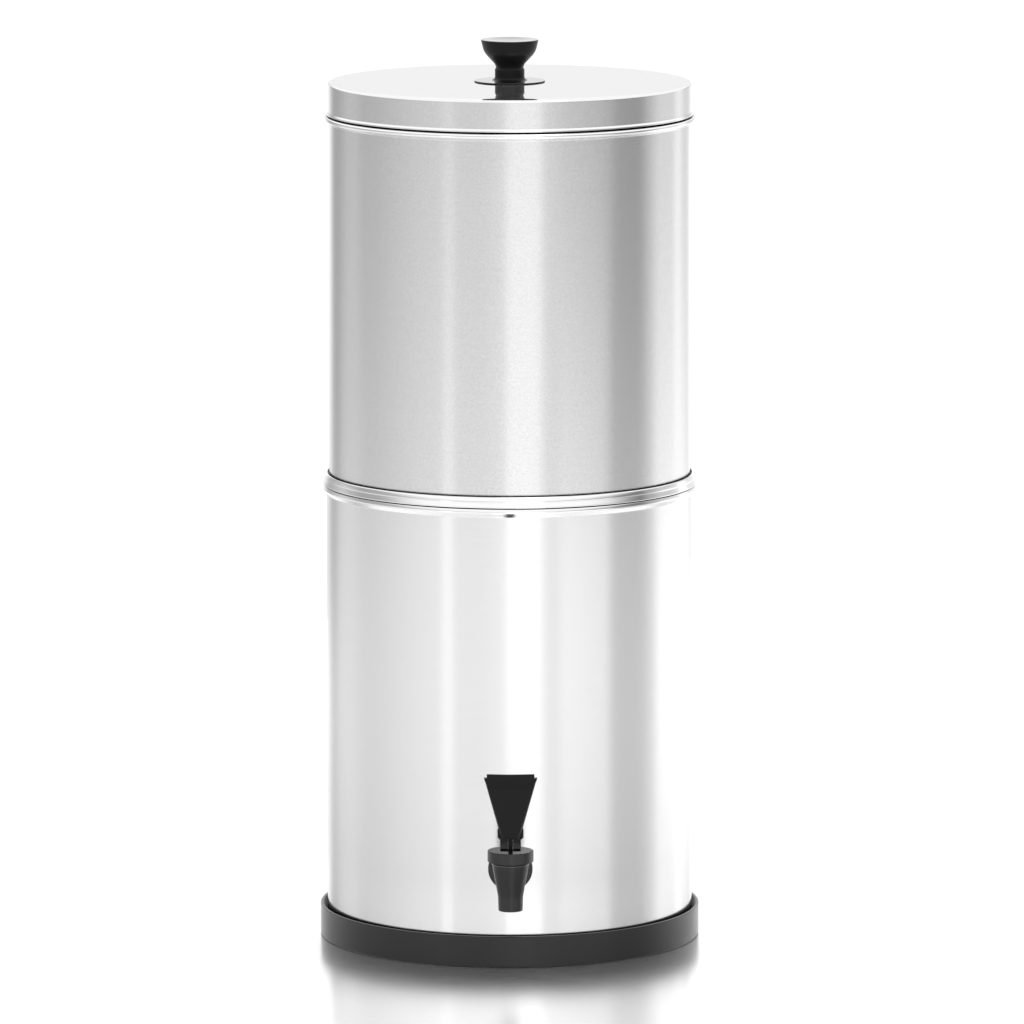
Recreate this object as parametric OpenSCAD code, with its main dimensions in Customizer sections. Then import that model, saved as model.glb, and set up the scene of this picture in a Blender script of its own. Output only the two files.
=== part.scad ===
// Gravity water filter with a lever tap.
// Two steel chambers stand on each other. Water poured into the upper one seeps
// through two filter elements into the lower one, and leaves by the tap.
// Millimetres. The origin is on the chambers' axis at the floor, and the tap points to -Y.

/* [Sheet steel shells] */
// Outer diameter of the lower chamber's wall
chamber_d = 241; // [232:1:256]
// Thickness of the sheet steel
sheet_t = 0.6; // [0.5:0.05:0.8]
// Height of the lower chamber, from its foot to the top of its rolled rim
lower_h = 304.2; // [280:0.1:340]
// Height of the upper chamber, from its shoulder to its mouth
upper_h = 262.4; // [240:0.1:300]
// Gap between two pieces that rest on each other and lift apart
seat_gap = 0.3; // [0.2:0.05:0.5]

/* [Lower chamber] */
// Radius of the round edge between the wall and the bottom
base_edge_r = 8; // [5:0.5:12]
// Diameter of the raised middle of the bottom
recess_d = 196; // [170:1:205]
// Height of the raised middle of the bottom
recess_h = 5; // [3:0.5:8]
// How far the shoulder bead stands out from the wall
bead_out = 2.4; // [1.6:0.1:3]
// Height of the shoulder bead
bead_h = 5.5; // [4.8:0.1:8]
// How far the rolled rim stands out from the wall
rim_out = 2.7; // [2.2:0.1:3.6]
// Height of the rolled rim
rim_h = 6.6; // [5.5:0.1:9]
// How far the ledge below the rim reaches in from the wall
ledge_w = 5; // [4.5:0.1:7]
// Opening left inside the fold that makes the ledge
fold_gap = 0.4; // [0.3:0.05:0.6]

/* [Upper chamber] */
// Gap between the upper chamber and the rim that it stands in
nest_gap = 1.3; // [0.8:0.1:1.6]
// Gap between the stepped-in foot and the edge of the ledge
foot_gap = 1.3; // [0.8:0.1:2]
// How far the wall draws in where it enters the rim
draw_in = 0.9; // [0.4:0.1:1.2]
// Depth of the stepped-in foot below the shoulder
foot_h = 18; // [14:0.5:24]
// Radius of the round edge of the stepped-in foot
foot_edge_r = 6; // [4:0.5:8]
// How far the bead under the lid stands out from the wall
mouth_bead_out = 3.1; // [2.4:0.1:4]
// Height of the bead under the lid
mouth_bead_h = 4; // [3.8:0.1:6]
// Height of the neck that the lid slips over
neck_h = 21; // [16:0.1:26]
// Width of the mouth's turned-in edge, which carries the lid
mouth_edge_w = 2.2; // [1.5:0.1:4]

/* [Lid and knob] */
// Height of the lid's skirt
skirt_h = 20.9; // [15.8:0.1:21.4]
// How far the skirt stands proud of the upper chamber's wall
lid_proud = 0.7; // [0.4:0.1:1.2]
// Gap between the skirt and the neck
neck_gap = 0.7; // [0.4:0.1:1.2]
// Radius of the lid's top edge
lid_edge_r = 1.6; // [1:0.1:3]
// How far the skirt's lower edge flares out
lip_out = 0.8; // [0.4:0.1:1.2]
// Diameter of the knob's rim
knob_d = 37.9; // [32:0.1:44]
// Height of the knob
knob_h = 27.6; // [24:0.1:34]
// Diameter of the knob's neck
knob_neck_d = 19.2; // [16:0.1:24]
// Height of the knob's neck
knob_neck_h = 9.2; // [7:0.1:12]
// Diameter of the thin flange under the knob
flange_d = 46.2; // [38:0.1:56]
// Thickness of the thin flange under the knob
flange_t = 0.8; // [0.6:0.1:2]
// Depth of the dished top of the knob
dish_h = 1.2; // [0.8:0.1:4]
// Diameter of the screw that holds the knob
knob_screw_d = 5; // [4:0.1:6]
// Length of the screw's thread, from its head
knob_screw_l = 15; // [12:0.5:18]
// Thickness of the washer under the screw's head
knob_washer_t = 1; // [0.8:0.1:1.6]

/* [Base ring] */
// Height of the rubber base ring
ring_h = 20.7; // [17:0.1:26]
// Thickness of the base ring's wall
ring_t = 2; // [1.5:0.1:3]
// Gap between the base ring's top edge and the chamber
ring_gap = 2.5; // [1.5:0.1:4]
// Thickness of the web that the chamber stands on
web_t = 4; // [3:0.1:6]
// Width of the web, in from the chamber's wall
web_w = 16; // [14:0.5:22]
// Height of the thick lower part of the base ring
ring_rib_h = 13; // [9:0.1:16]

/* [Tap] */
// Height of the tap's shank above the floor
tap_z = 65.4; // [55:0.1:90]
// Distance from the chamber's wall to the spout's axis
tap_reach = 38; // [32:0.5:50]
// Diameter of the shank that passes through the wall
shank_d = 15.8; // [14.5:0.1:17]
// Diameter of the water way through the shank
shank_bore_d = 9.6; // [8:0.1:11]
// Length of the shank inside the chamber
shank_in = 13.5; // [12:0.5:20]
// Diameter of the tap's flange
tap_flange_d = 28.9; // [26:0.1:34]
// Thickness of the tap's flange
tap_flange_t = 3.2; // [2.4:0.1:4.5]
// Thickness of the rubber washers at the wall
washer_t = 2; // [1.6:0.1:3]
// Distance across the flats of the nut inside the chamber
nut_w = 24; // [21:0.5:27]
// Height of the nut inside the chamber
nut_h = 6; // [5:0.5:8]
// Diameter of the barrel under the bonnet
barrel_d = 23.5; // [21.5:0.1:26]
// Outer diameter of the spout
spout_d = 15.7; // [14.5:0.1:17]
// Diameter of the water way through the spout
spout_bore_d = 9.6; // [7:0.1:10]
// Distance from the shank's axis down to the spout's end
spout_drop = 20.7; // [18:0.1:26]
// Distance from the shank's axis down to the valve seat
seat_drop = 8.4; // [7.5:0.1:10]
// Diameter of the valve chamber
valve_d = 14; // [13:0.1:14.6]
// Distance from the shank's axis up to the bonnet
bonnet_rise = 11.4; // [9.5:0.1:13]
// Gap between the bonnet and the barrel's shoulder below it
collar_gap = 1.2; // [0.6:0.1:2]
// Outer diameter of the bonnet
bonnet_d = 29.7; // [27:0.1:33]
// Height of the bonnet
bonnet_h = 7.3; // [6.5:0.1:10]
// Thickness of the bonnet's top
bonnet_top_t = 2.5; // [2:0.1:3]
// Thickness of the seal under the bonnet's top
bonnet_seal_t = 0.6; // [0.4:0.1:1]

/* [Valve and lever] */
// Diameter of the valve stem
stem_d = 5; // [4.4:0.1:5.6]
// Clearance round the stem in the bonnet
stem_gap = 0.15; // [0.1:0.05:0.3]
// Height of the seat cup
cup_h = 10; // [8:0.1:11]
// Wire diameter of the closing spring
wire_d = 0.8; // [0.6:0.1:1]
// Number of turns of the closing spring
spring_turns = 5; // [4:1:7]
// Height of the lever's pin above the bonnet
pin_rise = 11.1; // [10.5:0.1:13.5]
// Diameter of the lever's pin
pin_d = 2; // [1.6:0.1:2.4]
// How far ahead of the pin the lever's foot bears on the bonnet; it sets the lift
foot_arm = 4.5; // [3.5:0.1:5.5]
// How far the lever tips forward, in degrees
lever_swing = 35; // [25:1:40]
// Gap between the lever's foot and the bonnet
foot_play = 0.2; // [0.1:0.05:0.4]
// Width of the lever's hub
hub_w = 16.7; // [15:0.1:19]
// Diameter of the lever's hub
hub_d = 8; // [7.2:0.1:9]
// Width of the lever's fork
fork_w = 13.2; // [12:0.1:14.5]
// Thickness of the stem's flattened end, between the fork's cheeks
tang_t = 2.9; // [2.6:0.1:4.2]
// Width of the paddle at its shoulders
paddle_w = 34.3; // [30:0.1:40]
// Width of the paddle at its lower end
paddle_foot_w = 11.2; // [10:0.1:13]
// Width of the lip on top of the paddle
lip_w = 30.6; // [26:0.1:33]
// Height of the paddle's lip above the pin
paddle_h = 40.7; // [34:0.1:48]
// Thickness of the paddle
paddle_t = 3; // [2.4:0.1:4]

/* [Filter elements] */
// Diameter of a filter block
element_d = 70; // [60:0.5:74]
// Height of a filter element, from its gasket to its top
element_h = 229; // [180:1:235]
// Diameter of the bore inside a filter block
element_bore_d = 24; // [16:0.5:30]
// Height of the moulded cap at each end of an element
element_cap_h = 9; // [7:0.5:12]
// Diameter of the threaded stems
thread_d = 11; // [9:0.1:12]
// Length of the elements' stems below their gasket
thread_l = 27; // [22:0.5:34]
// Diameter of the water way through a stem
thread_bore_d = 4.5; // [3:0.1:5.5]
// Distance of the stem holes from the chamber's axis
hole_ring_r = 55; // [53:0.5:62]
// Clearance round a stem in its hole
hole_gap = 0.5; // [0.3:0.1:1]
// Diameter of the gaskets under the elements
gasket_d = 25; // [21:0.5:28]
// Thickness of the gaskets under the elements
gasket_t = 2.5; // [1.5:0.1:3.5]
// Height of a wing nut's hub
wing_nut_h = 8; // [6:0.5:10]
// Width of a wing nut over its wings
wing_span = 34; // [28:0.5:38]
// Height of a plug's head above its gasket
plug_h = 9; // [7:0.5:14]

/* [Hidden] */

$fn = 96;
arc_step = 18;   // degrees between the points of a rounded corner
skin = 0.02;     // gap between pieces that are pressed or screwed together
nip = 0.3;       // gap round pieces that are screwed or pushed in

steel = "gainsboro";
black = [0.1, 0.1, 0.11];
grey_black = [0.2, 0.2, 0.21];

// Radii of the nested shells, to their outer faces
half_t = sheet_t / 2;
chamber_r = chamber_d / 2;
wall_c = chamber_r - half_t;                       // middle of the lower chamber's sheet
ledge_c = wall_c - ledge_w;                        // middle of the ledge's folded edge
upper_r = chamber_r - sheet_t - nest_gap;
foot_r = ledge_c - half_t - foot_gap;
lid_r = upper_r + lid_proud;
neck_r = lid_r - sheet_t - neck_gap;
ring_r = chamber_r + ring_gap + ring_t;

// Levels above the floor
foot_z = web_t;
rim_z = foot_z + lower_h;
ledge_z = rim_z - rim_h;
shoulder_z = ledge_z + seat_gap;
floor_z = shoulder_z - foot_h;                     // underside of the upper chamber
mouth_z = shoulder_z + upper_h;
lid_z = mouth_z + seat_gap + sheet_t;
screw_z = lid_z - sheet_t - knob_washer_t;         // face of the knob screw's head
pan_z = floor_z + sheet_t;                         // floor inside the upper chamber
element_z = pan_z + gasket_t;

// Tap
tap_y = -chamber_r - tap_reach;
bonnet_z = tap_z + bonnet_rise;
bonnet_top = bonnet_z + bonnet_h;
bonnet_under = bonnet_top - bonnet_top_t;
barrel_top = bonnet_under - bonnet_seal_t;
barrel_neck_d = barrel_d - 1.2;
seat_z = tap_z - seat_drop;
cup_z = seat_z + foot_play;
cup_d = valve_d - 0.8;
pin_z = bonnet_top + pin_rise;
foot_drop = pin_rise - foot_play;                  // from the pin down to the lever's flat foot
lift = foot_arm * lever_swing * PI / 180;          // how far the lever draws the stem up
slot_w = tang_t + 0.4;
guide_d = stem_d + 3;
wire_ring_r = guide_d / 2 + nip + wire_d / 2;

// Unit vector from a to b, and a vector turned a quarter left
function toward(a, b) = (b - a) / norm(b - a);
function left(v) = [-v.y, v.x];
function spot(p) = [p[0], p[1]];
function backwards(p) = [for (i = [len(p) - 1:-1:0]) p[i]];
// A list of points without the ones that repeat
function distinct(p) = [for (i = [0:len(p) - 1]) if (i == 0 || norm(p[i] - p[i - 1]) > 0.001) p[i]];

// Points that round the corner b of the line a-b-c with radius r
function corner(a, b, c, r) =
    r == 0 || abs(cross(toward(a, b), toward(b, c))) < 0.001 ? [b] :
    let (u = toward(b, a), v = toward(b, c), half = acos(u * v) / 2,
         centre = b + (u + v) / norm(u + v) * r / sin(half),
         start = b + u * r / tan(half) - centre,
         turn = -sign(cross(u, v)) * (180 - 2 * half),
         steps = max(2, ceil(abs(turn) / arc_step)))
    [for (i = [0:steps]) let (a = turn * i / steps)
        centre + [start.x * cos(a) - start.y * sin(a), start.x * sin(a) + start.y * cos(a)]];

// An open line, and a closed loop, of [x, y, radius] corners
function bent(path) = let (last = len(path) - 1) distinct([for (i = [0:last])
    each i == 0 || i == last ? [spot(path[i])]
        : corner(spot(path[i - 1]), spot(path[i]), spot(path[i + 1]), path[i][2])]);
function loop(path) = let (n = len(path)) distinct([for (i = [0:n - 1])
    each corner(spot(path[(i + n - 1) % n]), spot(path[i]), spot(path[(i + 1) % n]), path[i][2])]);

// The line p, moved to its left by d
function beside(p, d) = [for (i = [0:len(p) - 1])
    let (a = toward(p[max(i - 1, 0)], p[max(i, 1)]),
         b = toward(p[min(i, len(p) - 2)], p[min(i + 1, len(p) - 1)]),
         m = left(a) + left(b))
    p[i] + m * 2 * d / (m * m)];

// Sheet steel spun round the Z axis, with its middle on the given corners
module spun(path) {
    middle = bent(path);
    rotate_extrude() polygon(concat(beside(middle, half_t), backwards(beside(middle, -half_t))));
}

// A solid turned round the Z axis from a closed outline
module turned(path) rotate_extrude() polygon(loop(path));

module tube(d, bore, h) difference() {
    cylinder(d = d, h = h);
    translate([0, 0, -1]) cylinder(d = bore, h = h + 2);
}

// Puts its children on the spout's axis
module at_spout() translate([0, tap_y, 0]) children();

// Puts its children on the shank's axis, with +Z pointing out of the chamber's wall
module at_shank() translate([0, -chamber_r, tap_z]) rotate([90, 0, 0]) children();

// Puts its children at the stem holes: the elements' two at the sides, the plugs' two fore and aft
module at_elements() for (side = [-1, 1]) translate([side * hole_ring_r, 0, 0]) children();
module at_plugs() for (side = [-1, 1]) translate([0, side * hole_ring_r, 0]) children();

// Rubber ring with a web under the chamber and a thin wall that stands off round it
module base_ring() {
    lip_r = chamber_r + ring_gap;
    color(grey_black) turned([
        [chamber_r - web_w, 0, 0.8], [ring_r, 0, 1.2], [ring_r, ring_h, 0.7], [lip_r, ring_h, 0.7],
        [lip_r, ring_rib_h, 0.5], [chamber_r + nip, ring_rib_h, 0.8], [chamber_r + nip, web_t, 0],
        [chamber_r - web_w, web_t, 0.8]]);
}

// Deep-drawn pot with a raised bottom, a shoulder bead, a folded ledge and a rolled rim
module lower_chamber() {
    fold = sheet_t + fold_gap;
    bead_c = chamber_r + bead_out - half_t;
    rim_c = chamber_r + rim_out - half_t;
    bead_z = ledge_z - half_t - fold;               // middle of the sheet on top of the bead
    top = rim_z - half_t;                           // middle of the sheet on top of the rim, and under it
    under = ledge_z + half_t;
    slope_in = 0.4 * rim_out;                       // how far the roll leans in above and below its middle
    color(steel) difference() {
        spun([
            [0, foot_z + recess_h + half_t, 0],
            [recess_d / 2, foot_z + recess_h + half_t, 3],
            [recess_d / 2 + recess_h, foot_z + half_t, 3],
            [wall_c, foot_z + half_t, base_edge_r],
            [wall_c, bead_z - bead_h, 1.4],
            [bead_c, bead_z - bead_h * 0.3, 1.4],
            [bead_c, bead_z, 0.9],
            [ledge_c, bead_z, fold / 2],
            [ledge_c, bead_z + fold, fold / 2],
            [wall_c, bead_z + fold, 0.9],
            [wall_c, top, 0.6],
            [rim_c - slope_in, top, 1],
            [rim_c, top - 0.27 * rim_h, 2.4],
            [rim_c, under + 0.3 * rim_h, 2.4],
            [rim_c - slope_in, under, 0.9],
            [wall_c + sheet_t + fold_gap / 2, under, 0]]);
        at_shank() translate([0, 0, -2 * washer_t]) cylinder(d = shank_d + 2 * nip, h = 4 * washer_t);
    }
}

// Moulded body: spout and valve barrel, shank with its flange, and the water way through both
module tap_body() {
    barrel_r = barrel_d / 2;
    spout_r = spout_d / 2;
    end_z = tap_z - spout_drop;
    neck_d = barrel_neck_d - 4;
    color(black) difference() {
        union() {
            at_spout() turned([
                [0, end_z, 0], [spout_r, end_z, 0.6], [spout_r + 0.25, end_z + spout_drop * 0.45, 8],
                [barrel_r - 0.3, bonnet_z - collar_gap - 3.5, 3], [barrel_r, bonnet_z - collar_gap, 0.5],
                [barrel_neck_d / 2, bonnet_z - collar_gap, 0], [barrel_neck_d / 2, barrel_top, 0.3],
                [0, barrel_top, 0]]);
            at_shank() rotate_extrude() polygon(loop([
                [0, -shank_in, 0], [shank_d / 2, -shank_in, 0.8], [shank_d / 2, washer_t, 0],
                [tap_flange_d / 2, washer_t, 0.5], [tap_flange_d / 2, washer_t + tap_flange_t, 1.2],
                [neck_d / 2, washer_t + tap_flange_t, 2.5], [neck_d / 2, tap_reach, 0],
                [0, tap_reach, 0]]));
        }
        at_spout() {
            translate([0, 0, seat_z]) cylinder(d = valve_d, h = barrel_top);
            translate([0, 0, end_z - 1]) cylinder(d = spout_bore_d, h = spout_drop + 1);
        }
        at_shank() translate([0, 0, -shank_in - 1]) cylinder(d = shank_bore_d, h = shank_in + tap_reach + 1);
    }
}

// Rubber washer outside the wall; its face follows the round wall
module outer_washer() {
    color(black) difference() {
        at_shank() translate([0, 0, -washer_t]) tube(tap_flange_d - 1, shank_d + nip, 2 * washer_t);
        cylinder(r = chamber_r + skin, h = rim_z, $fn = 720);
    }
}

// Rubber washer inside the wall; its face follows the round wall
module inner_washer() {
    color(black) intersection() {
        at_shank() translate([0, 0, -sheet_t - washer_t - 0.5])
            tube(tap_flange_d - 2, shank_d + nip, 2 * washer_t);
        cylinder(r = chamber_r - sheet_t - skin, h = rim_z, $fn = 720);
    }
}

module shank_nut() {
    seat = sheet_t + washer_t + 0.5;
    color(black) at_shank() translate([0, 0, -seat - nut_h]) difference() {
        intersection() {
            cylinder(d = nut_w / cos(30), h = nut_h, $fn = 6);
            turned([[0, 0, 0], [nut_w / 2 - 0.2, 0, 0], [nut_w / 2 + 1.2, 1, 0],
                [nut_w / 2 + 1.2, nut_h - 1, 0], [nut_w / 2 - 0.2, nut_h, 0], [0, nut_h, 0]]);
        }
        translate([0, 0, -1]) cylinder(d = shank_d + skin, h = nut_h + 2);
    }
}

// Screwed cap of the valve barrel, with a guide for the stem
module bonnet() {
    inner_r = barrel_neck_d / 2 + nip;
    outer_r = bonnet_d / 2;
    stem_r = stem_d / 2 + stem_gap;
    color(grey_black) at_spout() turned([
        [inner_r, bonnet_z, 0.3], [outer_r, bonnet_z, 0.5], [outer_r, bonnet_top, 0.6],
        [stem_r, bonnet_top, 0.3], [stem_r, bonnet_under - 3, 0], [guide_d / 2, bonnet_under - 3, 0.3],
        [guide_d / 2, bonnet_under, 0], [inner_r, bonnet_under, 0]]);
}

module bonnet_seal() {
    color("white") at_spout() translate([0, 0, barrel_top])
        tube(barrel_neck_d - 0.6, valve_d + 0.6, bonnet_seal_t);
}

// Stem with a barbed end in the seat cup and a flattened, cross-drilled end in the lever's fork
module valve_stem() {
    barb_z = cup_z + 4.6;
    flats_z = bonnet_top - lift - 0.3;              // the flats clear the fork at full lift
    color("dimgray") at_spout() difference() {
        intersection() {
            union() {
                turned([[0, barb_z, 0], [stem_d / 2 + 1.2, barb_z, 0.4], [stem_d / 2 + 1.2, barb_z + 1, 0.2],
                    [stem_d / 2, barb_z + 2, 0], [stem_d / 2, pin_z, 0], [0, pin_z, 0]]);
                translate([0, 0, pin_z]) sphere(d = stem_d);
            }
            union() {
                translate([-stem_d, -stem_d, barb_z]) cube([2 * stem_d, 2 * stem_d, flats_z - barb_z]);
                translate([-tang_t / 2, -stem_d, barb_z]) cube([tang_t, 2 * stem_d, pin_z]);
            }
        }
        translate([-stem_d, 0, pin_z]) rotate([0, 90, 0]) cylinder(d = pin_d + 2 * skin, h = 2 * stem_d);
    }
}

// Silicone cup that the stem lifts off the valve seat
module seat_cup() {
    r = cup_d / 2;
    barb_z = cup_z + 4.6;
    stem_r = stem_d / 2 + skin;
    color("whitesmoke") at_spout() turned([
        [spout_bore_d / 2 - 0.6, cup_z, 0.2], [r, cup_z, 0.4], [r, cup_z + 2, 1.5],
        [r - 1.2, cup_z + 5, 2], [r - 0.6, cup_z + cup_h - 1.5, 0.6], [r - 0.6, cup_z + cup_h, 0.4],
        [stem_r, cup_z + cup_h, 0], [stem_r, barb_z + 2 + skin, 0],
        [stem_r + 1.2, barb_z + 1, 0], [stem_r + 1.2, barb_z - skin, 0], [0, barb_z - skin, 0],
        [0, cup_z + 2.6, 0], [spout_bore_d / 2 - 1.4, cup_z + 2.6, 1]]);
}

// Coil spring between the seat cup and the bonnet
module closing_spring() {
    low = cup_z + cup_h + wire_d / 2 + skin;
    high = bonnet_under - wire_d / 2 - skin;
    sides = 8;
    per_turn = 16;
    rings = spring_turns * per_turn;
    points = [for (i = [0:rings]) let (a = 360 * i / per_turn) for (j = [0:sides - 1])
        let (b = 360 * j / sides, r = wire_ring_r + wire_d / 2 * cos(b))
        [r * cos(a), r * sin(a), low + (high - low) * i / rings + wire_d / 2 * sin(b)]];
    walls = [for (i = [0:rings - 1]) for (j = [0:sides - 1]) let (k = (j + 1) % sides)
        [i * sides + j, (i + 1) * sides + j, (i + 1) * sides + k, i * sides + k]];
    ends = [[for (j = [0:sides - 1]) j], [for (j = [sides - 1:-1:0]) rings * sides + j]];
    color("silver") at_spout() polyhedron(points, concat(walls, ends));
}

module lever_pin() {
    l = hub_w - 1;
    color("silver") at_spout() translate([-l / 2, 0, pin_z]) rotate([0, 90, 0]) cylinder(d = pin_d, h = l);
}

// Outline of the toe of the lever's foot, as [forward, up] from the pin. It touches the bonnet
// foot_arm ahead of the pin at every tilt, so the lift grows evenly with the tilt.
function toe(a) = let (reach = foot_drop + foot_arm * a * PI / 180)
    [reach * sin(a) + foot_arm * cos(a), foot_arm * sin(a) - reach * cos(a), 0];

// Turns an outline of [forward, up] points into a plate of width w, centred on the pin
module side_plate(path, w) at_spout() translate([w / 2, 0, pin_z]) rotate([90, 0, -90])
    linear_extrude(w) polygon(loop(path));

// Paddle with bevelled sides and a lip, on a forked foot that rolls on the bonnet
module lever() {
    front = 6.8;                                    // paddle's face ahead of the pin, at its foot
    lean = 2.6;                                     // how far the face leans forward at its shoulder
    lip_h = 2.8;
    shoulder = paddle_h - lip_h;
    heel = 5.4;
    foot_up = -2.7;                                 // paddle's lower end above the pin
    sag_r = 300;                                    // radius of the lip's hollow top, and its depth
    sag = 0.4;
    slot_top = stem_d / 2 + 0.6;
    slope = atan((paddle_w - paddle_foot_w) / 2 / (shoulder - foot_up));
    color(black) difference() {
        union() {
            side_plate(concat([[-heel, -foot_drop, 0.8]], [for (a = [0:5:lever_swing + 5]) toe(a)],
                [[front + 3, foot_up - 3.9, 2], [front - 0.4, foot_up - 2.2, 2],
                [front - 0.6, 12, 0], [front - 2.6, 14, 1], [-hub_d / 2, 3, 2], [-heel, -3, 2]]), fork_w);
            at_spout() translate([-hub_w / 2, 0, pin_z]) rotate([0, 90, 0])
                turned([[0, 0, 0], [hub_d / 2 - 1.2, 0, 0], [hub_d / 2, 1.2, 0],
                    [hub_d / 2, hub_w - 1.2, 0], [hub_d / 2 - 1.2, hub_w, 0], [0, hub_w, 0]]);
            intersection() {
                side_plate([[front, foot_up, 0.5], [front + lean - 0.6, shoulder - 5, 12],
                    [front + lean + 2.6, paddle_h - 0.8, 0.6], [front + lean + 1.4, paddle_h, 0.5],
                    [front + lean - paddle_t, shoulder - 1, 4], [front - paddle_t, 8, 10],
                    [front - paddle_t, foot_up, 0.5]], paddle_w + 2);
                difference() {
                    at_spout() translate([0, 0, pin_z]) rotate([90, 0, 0]) linear_extrude(2 * front + 10)
                        polygon([[-paddle_foot_w / 2, foot_up - 1], [paddle_foot_w / 2, foot_up - 1],
                            [paddle_w / 2, shoulder], [lip_w / 2, shoulder], [lip_w / 2, paddle_h + 1],
                            [-lip_w / 2, paddle_h + 1], [-lip_w / 2, shoulder], [-paddle_w / 2, shoulder]]);
                    for (side = [-1, 1]) at_spout()
                        translate([side * (paddle_foot_w / 2 - 0.9), -front, pin_z + foot_up])
                        rotate([atan(lean / shoulder), side * slope, 0]) rotate([0, 0, side * 62])
                        translate([side > 0 ? 0 : -20, -20, -10]) cube([20, 20, paddle_h + 20]);
                }
            }
            side_plate([[front - 1, 10, 0], [front + lean - 1.4, shoulder - 8, 0],
                [front + lean - 3.4, shoulder - 8, 1], [front - 5, 10, 0]], 2);
        }
        side_plate([[-20, -20, 0], [20, -20, 0], [20, foot_up, 0], [front - 1.6, foot_up, 0],
            [front - 2.4, slot_top, 0], [-20, slot_top, 0]], slot_w);
        for (side = [-1, 1]) at_spout() translate([side * (fork_w / 2 - 1.9), -front, 0])
            rotate(side * 45) translate([side > 0 ? 0 : -20, -20, 0]) cube([20, 20, pin_z + foot_up - 1]);
        at_spout() translate([-hub_w, 0, pin_z]) rotate([0, 90, 0]) cylinder(d = pin_d + 0.2, h = 2 * hub_w);
        at_spout() translate([0, 0, pin_z + paddle_h - sag + sag_r]) rotate([90, 0, 0])
            cylinder(r = sag_r, h = 2 * paddle_h, $fn = 720);
    }
}

// Pot with a stepped-in foot, a bead under the lid, a neck and a turned-in mouth
module upper_chamber() {
    upper_c = upper_r - half_t;
    entry_c = upper_c - draw_in;
    neck_c = neck_r - half_t;
    bead_c = upper_r + mouth_bead_out - half_t;
    bead_z = mouth_z - neck_h - half_t;             // middle of the sheet on top of the bead
    color(steel) difference() {
        spun([
            [0, floor_z + half_t, 0],
            [foot_r - half_t, floor_z + half_t, foot_edge_r],
            [foot_r - half_t, shoulder_z + half_t, 1],
            [entry_c, shoulder_z + half_t, 1.6],
            [entry_c, rim_z - rim_h / 2, 4],
            [upper_c, rim_z + 1, 4],
            [upper_c, bead_z - mouth_bead_h, 1.2],
            [bead_c, bead_z - mouth_bead_h * 0.55, 1.2],
            [bead_c, bead_z, 1.2],
            [neck_c, bead_z, 0.8],
            [neck_c, mouth_z - half_t, 0.8],
            [neck_c - mouth_edge_w, mouth_z - half_t, 0]]);
        translate([0, 0, floor_z - 1]) {
            at_elements() cylinder(d = thread_d + 2 * hole_gap, h = 3 * sheet_t + 1);
            at_plugs() cylinder(d = thread_d + 2 * hole_gap, h = 3 * sheet_t + 1);
        }
    }
}

// Hollow block of pressed carbon
module filter_block(side) {
    low = element_z + element_cap_h / 2;
    color([0.16, 0.16, 0.16]) translate([side * hole_ring_r, 0, low])
        tube(element_d, element_bore_d, element_h - element_cap_h / 2 - element_cap_h / 3);
}

// Moulded cap under a filter block, with a spigot in its bore and the threaded stem below
module filter_base(side) {
    r = element_d / 2 + 1.2;
    bore_r = element_bore_d / 2;
    seat = element_z + element_cap_h / 2;
    color(black) translate([side * hole_ring_r, 0, 0]) turned([
        [thread_bore_d / 2, element_z - thread_l, 0.3], [thread_d / 2, element_z - thread_l, 0.8],
        [thread_d / 2, element_z, 0], [gasket_d / 2 + 2, element_z, 0.5],
        [gasket_d / 2 + 4, element_z + 1, 1], [r - 2, element_z + 1, 1.5], [r, element_z + 3, 1],
        [r, element_z + element_cap_h, 0.4], [element_d / 2 + skin, element_z + element_cap_h, 0],
        [element_d / 2 + skin, seat, 0], [bore_r - skin, seat, 0],
        [bore_r - skin, element_z + element_cap_h + 3, 0.8],
        [bore_r - 3, element_z + element_cap_h + 3, 0.8], [bore_r - 3, seat, 0.5],
        [thread_bore_d / 2, seat, 0]]);
}

// Moulded cap that closes the top of a filter block
module filter_cap(side) {
    top = element_z + element_h;
    seat = top - element_cap_h / 3;
    r = element_d / 2 + 1.2;
    bore_r = element_bore_d / 2;
    color(black) translate([side * hole_ring_r, 0, 0]) turned([
        [0, seat - 4, 0], [bore_r - skin, seat - 4, 0.8], [bore_r - skin, seat, 0],
        [element_d / 2 + skin, seat, 0], [element_d / 2 + skin, top - element_cap_h, 0],
        [r, top - element_cap_h, 0.4], [r, top, 2.5], [0, top, 0]]);
}

// Rubber gaskets on the floor of the upper chamber, under the elements and the plugs
module stem_gaskets() {
    color("dimgray") translate([0, 0, pan_z]) {
        at_elements() tube(gasket_d, thread_d + 2 * skin, gasket_t);
        at_plugs() tube(gasket_d, thread_d + 2 * skin, gasket_t);
    }
}

// Plastic wing nut with its top on z = 0
module wing_nut() {
    hub_r = thread_d / 2 + 3;
    difference() {
        union() {
            translate([0, 0, -wing_nut_h]) cylinder(r = hub_r, h = wing_nut_h);
            translate([0, 0, -1.5]) cylinder(r = hub_r + 1.5, h = 1.5);
            intersection() {
                translate([-wing_span / 2, -1.5, -wing_nut_h - 4]) cube([wing_span, 3, wing_nut_h + 3]);
                for (side = [-1, 1]) translate([side * (wing_span / 2 - 8), 2, -wing_nut_h + 2])
                    rotate([90, 0, 0]) cylinder(r = 7, h = 4);
            }
        }
        translate([0, 0, -wing_nut_h - 5]) cylinder(d = thread_d + 2 * skin, h = wing_nut_h + 10);
    }
}

// The four wing nuts under the upper chamber
module wing_nuts() {
    color("gray") translate([0, 0, floor_z]) {
        at_elements() rotate(60) wing_nut();
        at_plugs() rotate(15) wing_nut();
    }
}

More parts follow.
